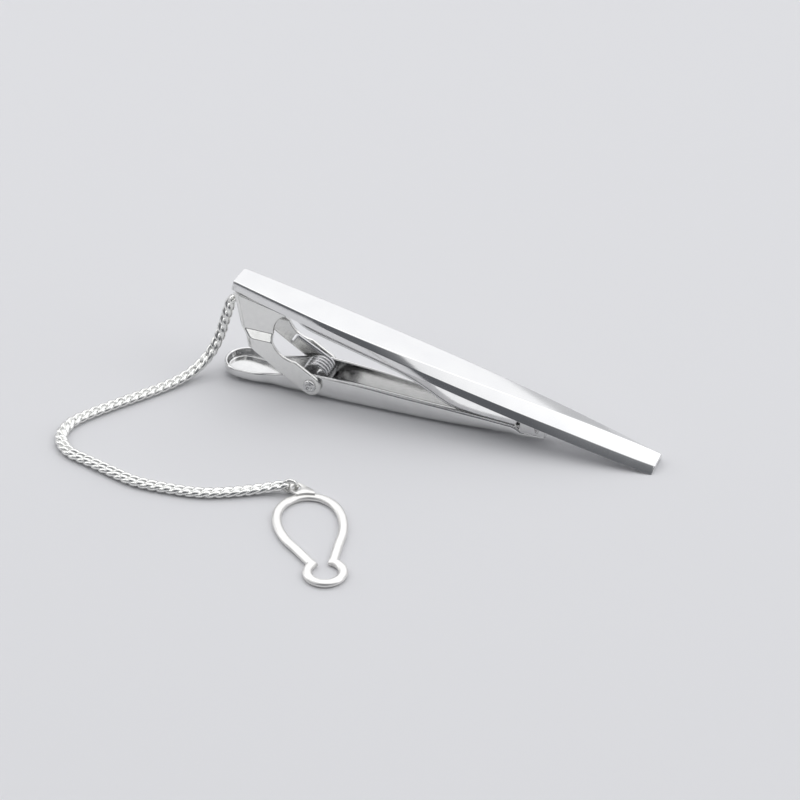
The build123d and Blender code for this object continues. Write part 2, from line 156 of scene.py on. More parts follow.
def newMaterial(name):
    material = bpy.data.materials.new(name)
    material.use_nodes = True
    tree = material.node_tree
    return material, tree, tree.nodes["Principled BSDF"]


def perMetre(sizeMm):
    # a texture's scale for a pattern that repeats each so many millimetres
    return 1000 / sizeMm


def platedFinish(name, look):
    # bright metal: haze that drifts, faint waves from the wheel, and hairlines along the
    # stroke. Real hairlines lie a few hundredths of a millimetre apart, which is too fine
    # to show, so they are drawn as coarse as they need to be seen
    material, tree, shader = newMaterial(name)
    coords = addNode(tree, "ShaderNodeTexCoord")
    stroke = addNode(tree, "ShaderNodeMapping", {"Scale": look["stroke"]},
                     {"Vector": coords.outputs["Object"]})
    haze = addNode(tree, "ShaderNodeTexNoise", {"Scale": perMetre(look["hazeMm"]), "Detail": 3.0},
                   {"Vector": coords.outputs["Object"]})
    hairs = addNode(tree, "ShaderNodeTexNoise", {"Scale": perMetre(look["hairMm"]), "Detail": 2.0},
                    {"Vector": stroke.outputs["Vector"]})
    waves = addNode(tree, "ShaderNodeTexNoise", {"Scale": perMetre(look["waveMm"]), "Detail": 1.0},
                    {"Vector": coords.outputs["Object"]})
    # nearly all of the noise lies between 0.3 and 0.7
    rough = addNode(tree, "ShaderNodeMapRange",
                    {"From Min": 0.3, "From Max": 0.7,
                     "To Min": look["rough"][0], "To Max": look["rough"][1]},
                    {"Value": haze.outputs["Fac"]})
    tone = addNode(tree, "ShaderNodeMix", {"data_type": "RGBA"}, {"Factor": haze.outputs["Fac"]})
    tones = [socket for socket in tone.inputs if socket.type == "RGBA"]
    tones[0].default_value = hexColour(look["dark"])
    tones[1].default_value = hexColour(look["light"])
    waveBump = addNode(tree, "ShaderNodeBump",
                       {"Strength": 1.0, "Distance": look["waveMicron"] / 1e6},
                       {"Height": waves.outputs["Fac"]})
    hairBump = addNode(tree, "ShaderNodeBump",
                       {"Strength": 1.0, "Distance": look["hairMicron"] / 1e6},
                       {"Height": hairs.outputs["Fac"], "Normal": waveBump.outputs["Normal"]})
    colour = [socket for socket in tone.outputs if socket.type == "RGBA"][0]
    tree.links.new(colour, shader.inputs["Base Color"])
    tree.links.new(rough.outputs["Result"], shader.inputs["Roughness"])
    tree.links.new(hairBump.outputs["Normal"], shader.inputs["Normal"])
    shader.inputs["Metallic"].default_value = 1.0
    return material


# "rough" is the range that the haze moves in, "stroke" stretches the hairlines along X,
# and the bumps are as deep as their microns say
finishes = {
    # rhodium plate over buffed brass: a near mirror, with the softest of buffing marks
    "buffedRhodium": platedFinish("buffedRhodium", {
        "dark": "#e2e2e3", "light": "#ededec", "rough": (0.11, 0.15), "stroke": (0.03, 1, 1),
        "hazeMm": 3.0, "hairMm": 0.2, "waveMm": 4.0, "waveMicron": 2.0, "hairMicron": 0.25}),
    # the same plating over stamped and tumbled sheet: brighter on the burrs, a little hazy
    "tumbledRhodium": platedFinish("tumbledRhodium", {
        "dark": "#d2d2d3", "light": "#e6e6e5", "rough": (0.13, 0.2), "stroke": (0.2, 1, 1),
        "hazeMm": 1.4, "hairMm": 0.12, "waveMm": 2.4, "waveMicron": 2.5, "hairMicron": 0.45}),
    # plated with the brushed grain left in the sheet: streaks run the length of the clip
    "brushedRhodium": platedFinish("brushedRhodium", {
        "dark": "#d6d6d6", "light": "#e9e9e8", "rough": (0.12, 0.19), "stroke": (0.02, 1, 1),
        "hazeMm": 1.8, "hairMm": 0.24, "waveMm": 4.0, "waveMicron": 1.0, "hairMicron": 1.1}),
    # sheet brushed harder, so that it glows instead of mirroring
    "softBrushedRhodium": platedFinish("softBrushedRhodium", {
        "dark": "#dededd", "light": "#f2f2ef", "rough": (0.18, 0.27), "stroke": (0.15, 1, 1),
        "hazeMm": 0.5, "hairMm": 0.2, "waveMm": 2.4, "waveMicron": 1.5, "hairMicron": 1.6}),
    # cold drawn spring steel: greyer, with die lines
    "drawnSpringSteel": platedFinish("drawnSpringSteel", {
        "dark": "#cfcfd1", "light": "#e6e6e6", "rough": (0.16, 0.26), "stroke": (1, 1, 1),
        "hazeMm": 0.8, "hairMm": 0.1, "waveMm": 0.6, "waveMicron": 0.8, "hairMicron": 0.3}),
    # plated wire and links, tumbled in a barrel until bright, so every edge is soft
    "barrelledRhodium": platedFinish("barrelledRhodium", {
        "dark": "#e6e6e4", "light": "#f6f6f3", "rough": (0.2, 0.28), "stroke": (1, 1, 1),
        "hazeMm": 1.0, "hairMm": 0.1, "waveMm": 0.4, "waveMicron": 0.8, "hairMicron": 0.2}),
    # satin plate: fine grit under the plating spreads every highlight
    "satinRhodium": platedFinish("satinRhodium", {
        "dark": "#e6e5e3", "light": "#f4f3f0", "rough": (0.32, 0.42), "stroke": (1, 1, 1),
        "hazeMm": 1.2, "hairMm": 0.08, "waveMm": 0.8, "waveMicron": 1.5, "hairMicron": 0.8}),
}


def finishPiece(bm, name, finish, body, smoothAngle=40):
    bmesh.ops.recalc_face_normals(bm, faces=bm.faces)
    mesh = bpy.data.meshes.new(name)
    bm.to_mesh(mesh)
    bm.free()
    piece = bpy.data.objects.new(name, mesh)
    bpy.context.scene.collection.objects.link(piece)
    mesh.materials.append(finishes[finish])
    mesh.shade_smooth()
    mesh.set_sharp_from_angle(angle=radians(smoothAngle))
    if body:
        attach(piece, body)
    return piece


def stitch(bm, rings, closed):
    # quads between rings of points; open ends are capped
    loops = [[bm.verts.new(p) for p in ring] for ring in rings]
    pairs = list(zip(loops, loops[1:])) + ([(loops[-1], loops[0])] if closed else [])
    for one, two in pairs:
        for i in range(len(one)):
            j = (i + 1) % len(one)
            bm.faces.new((one[i], one[j], two[j], two[i]))
    if not closed:
        bm.faces.new(loops[0])
        bm.faces.new(loops[-1])


def circle(radius, count):
    return [(radius * cos(2 * pi * i / count), radius * sin(2 * pi * i / count))
            for i in range(count)]


def roundedBox(width, height, radius, steps=4):
    # a strip's section: width across, height up
    corners = []
    for turn, (across, up) in enumerate(((1, 1), (-1, 1), (-1, -1), (1, -1))):
        middleX, middleY = (width / 2 - radius) * across, (height / 2 - radius) * up
        for i in range(steps + 1):
            angle = radians(90 * turn + 90 * i / steps)
            corners.append((middleX + radius * cos(angle), middleY + radius * sin(angle)))
    return corners


def tangents(points, closed):
    count = len(points)
    found = []
    for i in range(count):
        before = points[(i - 1) % count] if closed or i else points[0]
        after = points[(i + 1) % count] if closed or i < count - 1 else points[-1]
        found.append((after - before).normalized())
    return found


def carriedNormals(directions, first):
    # normals carried along a line without twisting
    normals = [(first - first.dot(directions[0]) * directions[0]).normalized()]
    for direction in directions[1:]:
        last = normals[-1]
        normals.append((last - last.dot(direction) * direction).normalized())
    return normals


def sweep(bm, points, section, up, closed=False, flat=False):
    # a section carried along points in metres; the section is in millimetres
    directions = tangents(points, closed)
    normals = [up] * len(points) if flat else carriedNormals(directions, up)
    rings = []
    for point, direction, normal in zip(points, directions, normals):
        side = direction.cross(normal)
        rings.append([point + (side * a + normal * b) / 1000 for a, b in section])
    stitch(bm, rings, closed)


def smoothThrough(points, steps):
    # a Catmull-Rom line through the points
    padded = [2 * points[0] - points[1], *points, 2 * points[-1] - points[-2]]
    line = []
    for a, b, c, d in zip(padded, padded[1:], padded[2:], padded[3:]):
        for i in range(steps):
            t = i / steps
            line.append(0.5 * (2 * b + (c - a) * t + (2 * a - 5 * b + 4 * c - d) * t * t
                               + (3 * b - a - 3 * c + d) * t ** 3))
    return line + [points[-1]]


def pointAt(line, distances, distance):
    # the point at a distance along the line, and which stretch it lies in
    for i in range(len(line) - 2):
        if distances[i + 1] >= distance:
            break
    span = distances[i + 1] - distances[i]
    return line[i].lerp(line[i + 1], (distance - distances[i]) / span), i


def makeChain():
    print("chain links")
    wire, width = chainSet["wire"], chainSet["width"]
    line = list(reversed(chainLine))
    directions = tangents(line, False)
    normals = carriedNormals(directions, Vector((0, 0, 1)))
    distances = [0.0]
    for one, two in zip(line, line[1:]):
        distances.append(distances[-1] + (two - one).length)
    reach = distances[-1] - chainSet["endPlay"] / 1000
    count = round(reach * 1000 / chainSet["pitch"])
    pitch = reach / count
    halfLong = (pitch * 1000 + wire) / 2
    halfWide = (width - wire) / 2
    bm = bmesh.new()
    for k in range(count + 1):
        centre, i = pointAt(line, distances, chainSet["startPlay"] / 1000 + k * pitch)
        along, up = directions[i], normals[i]
        side = along.cross(up)
        points = []
        for step in range(chainSet["linkSteps"]):
            angle = 2 * pi * step / chainSet["linkSteps"]
            turn = radians(chainSet["twist"]) * cos(angle)
            across = halfWide * sin(angle)
            points.append(centre + (along * halfLong * cos(angle)
                                    + side * across * cos(turn) + up * across * sin(turn)) / 1000)
        sweep(bm, points, circle(wire / 2, chainSet["wireSteps"]), up, closed=True)
    chain = finishPiece(bm, "safetyChain", "barrelledRhodium", None, 60)
    return chain, distances[-1]


# the eye and both rings are bent from wire
wireSet = {
    "eyeRadius": 0.8, "eyeWire": 0.4, "eyeHeight": 11.293, "eyeWallX": -10.483,
    "ringRadius": 0.7, "ringWire": 0.35, "ringPlay": 0.05, "hangAngle": 225.0,
    "endRingRadius": 0.8, "endRingWire": 0.5, "ringSteps": 40, "wireSteps": 12,
}


def makeRing(name, middle, radius, wire, axisA, axisB, normal, body):
    # a ring of round wire: middle in metres, in the plane of the two axes
    bm = bmesh.new()
    points = [middle + (axisA * a + axisB * b) * radius / 1000
              for a, b in circle(1, wireSet["ringSteps"])]
    sweep(bm, points, circle(wire / 2, wireSet["wireSteps"]), normal, closed=True, flat=True)
    return finishPiece(bm, name, "barrelledRhodium", body)


def makeAnchor():
    print("anchor eye and ring")
    s = wireSet
    xAxis, yAxis, zAxis = Vector((1, 0, 0)), Vector((0, 1, 0)), Vector((0, 0, 1))
    eye = makeRing("anchorEye", place(s["eyeWallX"], 0, s["eyeHeight"]), s["eyeRadius"],
                   s["eyeWire"], xAxis, zAxis, yAxis, barSide)
    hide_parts("anchor_eye")
    hangX, hangZ = polar(1, s["hangAngle"])
    play = s["ringRadius"] - s["eyeWire"] / 2 - s["ringWire"] / 2 - s["ringPlay"]
    out = s["eyeRadius"] + play
    centre = place(s["eyeWallX"] + out * hangX, 0, s["eyeHeight"] + out * hangZ)
    hang = Vector((hangX, 0, hangZ))
    ring = makeRing("anchorRing", centre, s["ringRadius"], s["ringWire"], hang, yAxis,
                    hang.cross(yAxis), barSide)
    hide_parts("anchor_ring")


springSet = {
    "wire": 0.5, "coilRadius": 1.6, "coilLift": 0.35, "pitch": 0.565, "turns": 4,
    "legAngle": 60.9, "upperLeg": 4.9, "hook": 1.7, "lowerLeg": 4.6, "lowerDrop": 0.05,
    "bendRadius": 0.35, "bendSteps": 6, "hookShort": 0.15, "turnSteps": 36, "wireSteps": 14,
    "windFrom": 1.2, "windTo": 3.9,  # heights between which the coil winds up
}


def makeSpring():
    print("torsion spring")
    s = springSet
    turns = s["turns"] + (90 + s["legAngle"]) / 360
    height = turns * s["pitch"]
    centreZ = pivotHeight + s["coilLift"]
    heel = place(-s["lowerLeg"], -height / 2, centreZ - s["coilRadius"] - s["lowerDrop"])
    points = [heel, heel.lerp(place(0, -height / 2, centreZ - s["coilRadius"]), 0.6)]
    count = round(turns * s["turnSteps"])
    for i in range(count + 1):
        angle = -90 + 360 * turns * i / count
        x, z = polar(s["coilRadius"], angle)
        points.append(place(x, -height / 2 + height * i / count, centreZ + z))
    outX, outZ = polar(1, s["legAngle"] + 90)
    leave = points[-1]
    hook = leave + Vector((outX, 0, outZ)) * s["upperLeg"] / 1000
    bend = s["bendRadius"] / 1000
    back, over = (leave - hook).normalized(), Vector((0, -1, 0))
    points.append(leave.lerp(hook, 0.5))
    for i in range(s["bendSteps"] + 1):
        angle = radians(90 * i / s["bendSteps"])
        points.append(hook + back * bend * (1 - sin(angle)) + over * bend * (1 - cos(angle)))
    points.append(hook + over * (s["hook"] - s["hookShort"]) / 1000)
    bm = bmesh.new()
    sweep(bm, points, circle(s["wire"] / 2, s["wireSteps"]), Vector((0, 1, 0)))
    bmesh.ops.remove_doubles(bm, verts=bm.verts, dist=1e-7)
    spring = finishPiece(bm, "torsionSpring", "drawnSpringSteel", None)
    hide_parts("torsion_spring")
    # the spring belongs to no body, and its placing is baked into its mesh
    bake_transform(spring)


barSet = {
    "length": 57.0, "halfEnd": 1.85, "halfMiddle": 3.0, "widestShift": 1.16, "fullness": 0.75,
    "ridgeHeight": 1.3, "ridgeCrown": 0.2, "ridgeNear": -0.93, "ridgeFar": 0.6,
    "ridgeLeaves": 0.2, "ridgeCurve": 1.25, "farEdgeThumb": 1.2, "farEdgeTip": 0.7,
    "nearEdge": 0.8, "farBevel": 0.22, "nearSlant": 0.9, "slantFrom": 0.3, "slantTo": 0.8,
    "pivotFromThumbEnd": 13.15, "pivotDepth": 8.13,
    "cornerRound": 0.07, "bevelRound": 0.1, "ridgeRound": 0.16, "endRound": 0.12,
    "stations": 72, "endSteps": 4,
}


def barPlacement():
    # the bar's tip rests on the table, so its slant follows from the pivot's height
    reach = hypot(barSet["length"] - barSet["pivotFromThumbEnd"], barSet["pivotDepth"])
    tilt = atan2(barSet["pivotDepth"], barSet["length"] - barSet["pivotFromThumbEnd"])
    tilt += asin(pivotHeight / reach)
    x = barSet["pivotDepth"] * sin(tilt) - barSet["pivotFromThumbEnd"] * cos(tilt)
    z = pivotHeight + barSet["pivotDepth"] * cos(tilt) + barSet["pivotFromThumbEnd"] * sin(tilt)
    return tilt, x, z


tilt, barX, barZ = barPlacement()


def onBar(along, across, height):
    return place(barX + along * cos(tilt) + height * sin(tilt), across,
                 barZ - along * sin(tilt) + height * cos(tilt))


def barCorners(t):
    # the section at a share t of the length: far side, ridge, near side
    s = barSet
    swell = sin(pi * t ** s["widestShift"]) ** s["fullness"]
    half = s["halfEnd"] + (s["halfMiddle"] - s["halfEnd"]) * swell
    alongRidge = (max(0.0, t - s["ridgeLeaves"]) / (1 - s["ridgeLeaves"])) ** s["ridgeCurve"]
    ridge = half * (s["ridgeNear"] + (s["ridgeFar"] - s["ridgeNear"]) * alongRidge)
    farEdge = s["farEdgeThumb"] + (s["farEdgeTip"] - s["farEdgeThumb"]) * t ** 2
    lean = min(1.0, max(0.0, (t - s["slantFrom"]) / (s["slantTo"] - s["slantFrom"])))
    slant = min(s["nearSlant"] * lean, half - s["halfEnd"] / 2)
    top = s["ridgeHeight"] + s["ridgeCrown"] * sin(pi * t)
    return [(half, 0.0), (half, farEdge - s["farBevel"]), (half - s["farBevel"], farEdge),
            (ridge, top), (slant - half, s["nearEdge"]), (-half, 0.0)]


def roundCorners(corners, radii, steps=4):
    # each corner becomes a short curve that leaves both sides smoothly and takes up
    # no more than 0.4 of either
    outline = []
    count = len(corners)
    for i in range(count):
        here = Vector(corners[i])
        before, after = Vector(corners[i - 1]), Vector(corners[(i + 1) % count])
        inReach = min(radii[i], 0.4 * (before - here).length)
        outReach = min(radii[i], 0.4 * (after - here).length)
        start = here + (before - here).normalized() * inReach
        end = here + (after - here).normalized() * outReach
        for k in range(steps + 1):
            t = k / steps
            outline.append(start * (1 - t) ** 2 + here * 2 * t * (1 - t) + end * t * t)
    return outline


def barSection(t):
    s = barSet
    radii = [s["cornerRound"], s["bevelRound"], s["bevelRound"],
             s["ridgeRound"], s["cornerRound"], s["cornerRound"]]
    return roundCorners(barCorners(t), radii)


def shrunkSection(t, inset, along):
    # a section drawn in towards its middle, for the rounded ends
    corners = barSection(t)
    middleY = sum(c[0] for c in corners) / len(corners)
    middleZ = sum(c[1] for c in corners) / len(corners)
    ring = []
    for y, z in corners:
        away = Vector((y - middleY, z - middleZ))
        scale = max(0.0, 1 - inset / max(away.length, 1e-6))
        ring.append(onBar(along, middleY + away.x * scale, middleZ + away.y * scale))
    return ring


def makeFaceBar():
    print("face bar")
    s = barSet
    endShare = s["endRound"] / s["length"]
    inside = []
    for i in range(s["stations"] + 1):
        t = sin(pi / 2 * i / s["stations"]) ** 2  # closer together at both ends
        if endShare < t < 1 - endShare:
            inside.append([onBar(t * s["length"], y, z) for y, z in barSection(t)])
    startRings, endRings = [], []
    for k in range(s["endSteps"]):
        angle = radians(90 * k / s["endSteps"])
        inset = s["endRound"] * (1 - sin(angle))
        along = s["endRound"] * (1 - cos(angle))
        startRings.append(shrunkSection(along / s["length"], inset, along))
        endRings.append(shrunkSection(1 - along / s["length"], inset, s["length"] - along))
    bm = bmesh.new()
    stitch(bm, startRings + inside + list(reversed(endRings)), False)
    bar = finishPiece(bm, "faceBar", "buffedRhodium", barSide, 30)
    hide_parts("face_bar")


leafSet = {
    "thick": 0.35, "wide": 2.4, "endWide": 1.8, "taperStart": 30.0, "round": 0.1,
    "footStart": 6.6, "footFlat": 8.0, "footLeaves": 8.7, "footDrop": 0.08, "lineSteps": 8,
    "line": [(10.4, -1.5), (16.5, -1.75), (23.1, -1.95), (26.7, -2.5), (28.6, -3.05),
             (30.4, -3.45), (32.0, -3.5), (34.5, -3.25), (39.0, -2.55)],
}


def makeGripLeaf():
    print("grip leaf")
    s = leafSet
    half = s["thick"] / 2
    points = [Vector((s["footStart"], 0, -half)), Vector((s["footFlat"], 0, -half)),
              Vector((s["footLeaves"], 0, -half - s["footDrop"]))]
    points += [Vector((x, 0, z + half)) for x, z in s["line"]]
    flat = smoothThrough(points, s["lineSteps"])
    line = [onBar(p.x, p.y, p.z) for p in flat]
    side = Vector((0, -1, 0))
    rings = []
    for spot, point, direction in zip(flat, line, tangents(line, False)):
        share = max(0.0, (spot.x - s["taperStart"]) / (flat[-1].x - s["taperStart"]))
        wide = s["wide"] + (s["endWide"] - s["wide"]) * share
        section = roundedBox(wide, s["thick"], s["round"], 3)
        up = side.cross(direction)
        rings.append([point + (side * a + up * b) / 1000 for a, b in section])
    bm = bmesh.new()
    stitch(bm, rings, False)
    leaf = finishPiece(bm, "gripLeaf", "tumbledRhodium", barSide, 50)
    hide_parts("grip_leaf")


leverSet = {
    "wall": 0.45, "half": 2.4, "taperStart": 3.0, "tabReach": 12.8, "tabHalf": 2.75,
    "neckStart": -8.2, "neckEnd": -5.6, "tabRise": 0.5, "tipReach": 30.6, "tipHalf": 1.4,
    "tipRise": 1.0, "tipShort": 0.2, "belly": (-3.0, 14.0), "riseBeyond": 1,
    "tabCurve": 1.6, "tipCurve": 1.5, "outerBend": 1.2, "innerBend": 0.25, "rimRound": 0.22,
    "outerMost": 0.6, "innerMost": 0.45, "floorLeast": 0.05,
    "tabSteps": 14, "rearSteps": 4, "neckSteps": 8, "frontSteps": 60,
    "outerSteps": 8, "crownSteps": 4, "innerSteps": 6, "rimSteps": 12,
    # place along the lever and height of its rims; the last ones are the notch behind the jaw
    "rims": [(-13.8, 1.85), (-7.0, 1.95), (-3.4, 2.6), (-0.6, 3.35), (2.4, 3.45), (7.0, 3.3),
             (12.0, 2.95), (16.0, 2.75), (22.0, 2.4), (25.6, 2.15), (26.6, 2.05), (27.1, 1.6),
             (27.5, 1.5), (30.6, 1.65)],
    "blockStart": 27.35, "blockEnd": 29.1, "valley": (29.3, 29.8), "valleyHeight": 1.75,
    "teeth": 3, "toothTop": (0.4, 0.6), "toothDepth": 0.4, "toothGap": 0.05,
    "endTooth": (30.05, 30.35), "blockFloor": 0.5, "blockRound": 0.09,
}


rimLine = smoothThrough([Vector((x, z, 0)) for x, z in leverSet["rims"]], leverSet["rimSteps"])


def leverRim(x):
    # the rims' height, read from a smooth line through their points
    for one, two in zip(rimLine, rimLine[1:]):
        if one.x <= x <= two.x:
            return one.y + (two.y - one.y) * (x - one.x) / max(two.x - one.x, 1e-9)
    return rimLine[0].y if x < rimLine[0].x else rimLine[-1].y


def leverUnderside(x):
    # flat along the belly, rising to a little beyond both ends
    s = leverSet
    start, end = s["belly"]
    if x < start:
        share = (start - x) / (s["tabReach"] + s["riseBeyond"] + start)
        return s["tabRise"] * share ** s["tabCurve"]
    if x > end:
        share = (x - end) / (s["tipReach"] + s["riseBeyond"] - end)
        return s["tipRise"] * share ** s["tipCurve"]
    return 0.0


def leverOutline():
    # near half of the plan, from the tab's end to the tip: each entry is a point,
    # its outward normal and the X of the centre line that it belongs to
    s = leverSet
    outline = []
    tabCentre = s["tabHalf"] - s["tabReach"]
    for i in range(s["tabSteps"] + 1):
        angle = radians(180 + 90 * i / s["tabSteps"])
        normal = Vector((cos(angle), sin(angle)))
        outline.append((Vector((tabCentre, 0)) + normal * s["tabHalf"], normal, tabCentre))
    taper = (s["tipHalf"] - s["half"]) / (s["tipReach"] - s["taperStart"])
    stations = []
    for start, end, steps in ((tabCentre, s["neckStart"], s["rearSteps"]),
                              (s["neckStart"], s["neckEnd"], s["neckSteps"]),
                              (s["neckEnd"], s["tipReach"] - s["tipShort"], s["frontSteps"])):
        stations += [start + (end - start) * i / steps for i in range(1, steps + 1)]
    for x in stations:
        if x <= s["neckStart"]:
            half = s["tabHalf"]
        elif x <= s["neckEnd"]:
            share = (x - s["neckStart"]) / (s["neckEnd"] - s["neckStart"])
            half = s["tabHalf"] + (s["half"] - s["tabHalf"]) * share * share * (3 - 2 * share)
        else:
            half = s["half"] + taper * max(0.0, x - s["taperStart"])
        outline.append((Vector((x, -half)), Vector((0, -1)), x))
    return outline


def leverProfile(x, halfWidth):
    # from under the middle, up and over the rim, to the middle of the floor: inset from
    # the outer edge, height, and whether that height is measured from the rim
    s = leverSet
    deep, wall = leverRim(x) - leverUnderside(x), s["wall"]
    outer = min(s["outerBend"], s["outerMost"] * deep)
    inner = min(s["innerBend"], halfWidth - wall - s["floorLeast"], s["innerMost"] * deep)
    crown = s["rimRound"]
    profile = [(halfWidth, 0.0, False)]
    for i in range(s["outerSteps"] + 1):
        angle = radians(90 * i / s["outerSteps"])
        profile.append((outer - outer * sin(angle), outer - outer * cos(angle), False))
    for start, middle in ((180, crown), (90, wall - crown)):
        for i in range(s["crownSteps"] + 1):
            angle = radians(start - 90 * i / s["crownSteps"])
            profile.append((middle + crown * cos(angle), -crown + crown * sin(angle), True))
    for i in range(s["innerSteps"] + 1):
        angle = radians(90 * i / s["innerSteps"])
        profile.append((wall + inner * (1 - cos(angle)), wall + inner * (1 - sin(angle)), False))
    profile.append((halfWidth, wall, False))
    return profile


def rearFaceHeight(x):
    # height of the bar's rear face over the table
    return barZ - (x - barX) * tan(tilt)


def makeLever():
    print("lever")
    s = leverSet
    bm = bmesh.new()
    for side in (1, -1):
        rows = []
        for spot, normal, centre in leverOutline():
            half = hypot(spot.x - centre, spot.y)
            row = []
            for inset, height, fromRim in leverProfile(spot.x, half):
                if inset >= half:
                    x, y = centre, 0
                else:
                    x, y = spot.x - normal.x * inset, spot.y - normal.y * inset
                base = leverRim(spot.x) if fromRim else leverUnderside(x)
                row.append(bm.verts.new(place(x, side * y, base + height)))
            rows.append(row)
        for one, two in zip(rows, rows[1:]):
            for i in range(len(one) - 1):
                bm.faces.new((one[i], one[i + 1], two[i + 1], two[i]))
        bm.faces.new(rows[-1])
    bmesh.ops.remove_doubles(bm, verts=bm.verts, dist=2e-6)
    lever = finishPiece(bm, "clipLever", "brushedRhodium", leverSide, 50)
    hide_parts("lever")


def makeJawTeeth():
    # the pinched end: three teeth, a valley and the end tooth
    print("jaw teeth")
    s = leverSet
    pitch = (s["blockEnd"] - s["blockStart"]) / s["teeth"]
    root = s["toothGap"] + s["toothDepth"]
    outline = []
    for i in range(s["teeth"]):
        x = s["blockStart"] + i * pitch
        outline.append((x, rearFaceHeight(x) - root))
        for top in [x + share * pitch for share in s["toothTop"]]:
            outline.append((top, rearFaceHeight(top) - s["toothGap"]))
    outline.append((s["blockEnd"], rearFaceHeight(s["blockEnd"]) - root))
    outline += [(x, s["valleyHeight"]) for x in s["valley"]]
    outline += [(x, rearFaceHeight(x) - s["toothGap"]) for x in s["endTooth"]]
    end, start = s["tipReach"], s["blockStart"]
    outline += [(end, rearFaceHeight(end) - root), (end, leverUnderside(end) + s["blockFloor"]),
                (start, leverUnderside(start) + s["blockFloor"])]
    bm = bmesh.new()
    half = s["tipHalf"]
    stitch(bm, [[place(x, side * half, z) for x, z in outline] for side in (-1, 1)], False)
    bmesh.ops.bevel(bm, geom=list(bm.edges), offset=s["blockRound"] / 1000, segments=2,
                    affect="EDGES", clamp_overlap=True)
    finishPiece(bm, "jawTeeth", "tumbledRhodium", leverSide, 35)


# the bracket keeps the stamping's own shape, with its edges tumbled round: "grain" is the
# mesh's size in millimetres, and more softening rounds the edges more
bracketSet = {"grain": 0.06, "softening": 24}


def makeBracket():
    print("bracket")
    source = frame["nodes"]["bracket"]
    work = bpy.data.objects.new("bracketWork", source.data.copy())
    bpy.context.scene.collection.objects.link(work)
    remesh = work.modifiers.new("even", "REMESH")
    remesh.mode = "VOXEL"
    remesh.voxel_size = bracketSet["grain"] / 1000
    soften = work.modifiers.new("soften", "SMOOTH")
    soften.factor = 0.5
    soften.iterations = bracketSet["softening"]
    shaped = work.evaluated_get(bpy.context.evaluated_depsgraph_get())
    mesh = bpy.data.meshes.new_from_object(shaped)
    bm = bmesh.new()
    bm.from_mesh(mesh)
    bpy.data.objects.remove(work)
    bpy.data.meshes.remove(mesh)
    bracket = finishPiece(bm, "clipBracket", "softBrushedRhodium", barSide, 180)
    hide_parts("bracket")


rivetSet = {
    "earOuter": 3.0, "shank": 0.5, "steps": 40,
    # radius and height of the head's profile: boss, groove, rolled rim
    "profile": [(0.0, 0.24), (0.12, 0.23), (0.22, 0.17), (0.28, 0.1), (0.34, 0.1), (0.4, 0.2),
                (0.47, 0.31), (0.55, 0.35), (0.64, 0.34), (0.74, 0.27), (0.81, 0.17), (0.85, 0.0)],
}


def makeRivet():
    print("rivet")
    s = rivetSet
    # from the near head's middle, along the shank, to the far head's middle
    near = [(max(radius, 0.001), -s["earOuter"] - height) for radius, height in s["profile"]]
    outline = near + [(s["shank"], -s["earOuter"])]
    outline += [(radius, -y) for radius, y in reversed(outline)]
    rings = [[place(x, y, pivotHeight + z) for x, z in circle(radius, s["steps"])]
             for radius, y in outline]
    bm = bmesh.new()
    stitch(bm, rings, False)
    rivet = finishPiece(bm, "pivotRivet", "tumbledRhodium", barSide, 60)
    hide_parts("pivot_pin")


loopSet = {
    "top": (7.45, -22.3), "angle": -56.2, "strip": 1.15, "thick": 0.7, "round": 0.34,
    # one side of the loop, from its top to the cusp before the round end
    "side": [(0, 0), (0.27, 1.27), (1.05, 2.49), (2.46, 3.46), (4.28, 3.86),
             (6.2, 3.78), (8.2, 3.3), (10.0, 2.5), (13.15, 1.25)],
    "beforeTop": (0.3, -1.25), "sideSteps": 8,
    "bulbEnd": 16.95, "bulbSteps": 30, "cuspLimit": 0.62,
    "tabRadius": 1.0, "tabHole": 0.55, "tabAt": (-1.35, -0.5), "tabBottom": 0.55,
    "tabThick": 0.4, "tabRound": 0.1, "tabSteps": 72, "stripCurve": 0.17,
}


def loopPlace(along, side, z):
    cosine, sine = polar(1, loopSet["angle"])
    x, y = loopSet["top"]
    return place(x + along * cosine - side * sine, y + along * sine + side * cosine, z)


def makeButtonLoop():
    print("button loop")
    s = loopSet
    guides = [Vector((*p, 0)) for p in [s["beforeTop"], *s["side"]]]
    upper = smoothThrough(guides, s["sideSteps"])[s["sideSteps"]:]
    cuspX, cuspY = s["side"][-1]
    centre = (s["bulbEnd"] ** 2 - cuspX ** 2 - cuspY ** 2) / (2 * (s["bulbEnd"] - cuspX))
    radius = s["bulbEnd"] - centre
    startAngle = atan2(cuspY, cuspX - centre)
    bulb = []
    for i in range(1, s["bulbSteps"]):
        angle = startAngle * (1 - 2 * i / s["bulbSteps"])
        bulb.append(Vector((centre + radius * cos(angle), radius * sin(angle), 0)))
    lower = [Vector((p.x, -p.y, 0)) for p in reversed(upper)]
    middle = upper + bulb + lower[:-1]
    count = len(middle)
    section = roundedBox(s["strip"], s["thick"], s["round"], 4)
    rings = []
    for i in range(count):
        before = (middle[i] - middle[i - 1]).normalized()
        after = (middle[(i + 1) % count] - middle[i]).normalized()
        across = Vector((-(before + after).y, (before + after).x, 0)).normalized()
        miter = 1 / max(s["cuspLimit"], across.dot(Vector((-before.y, before.x, 0))))
        wide = across * miter
        rings.append([loopPlace(middle[i].x + wide.x * a, middle[i].y + wide.y * a,
                                s["thick"] / 2 + b) for a, b in section])
    bm = bmesh.new()
    stitch(bm, rings, True)
    loop = finishPiece(bm, "buttonLoop", "satinRhodium", leverSide, 60)
    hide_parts("button_loop")
    return loop


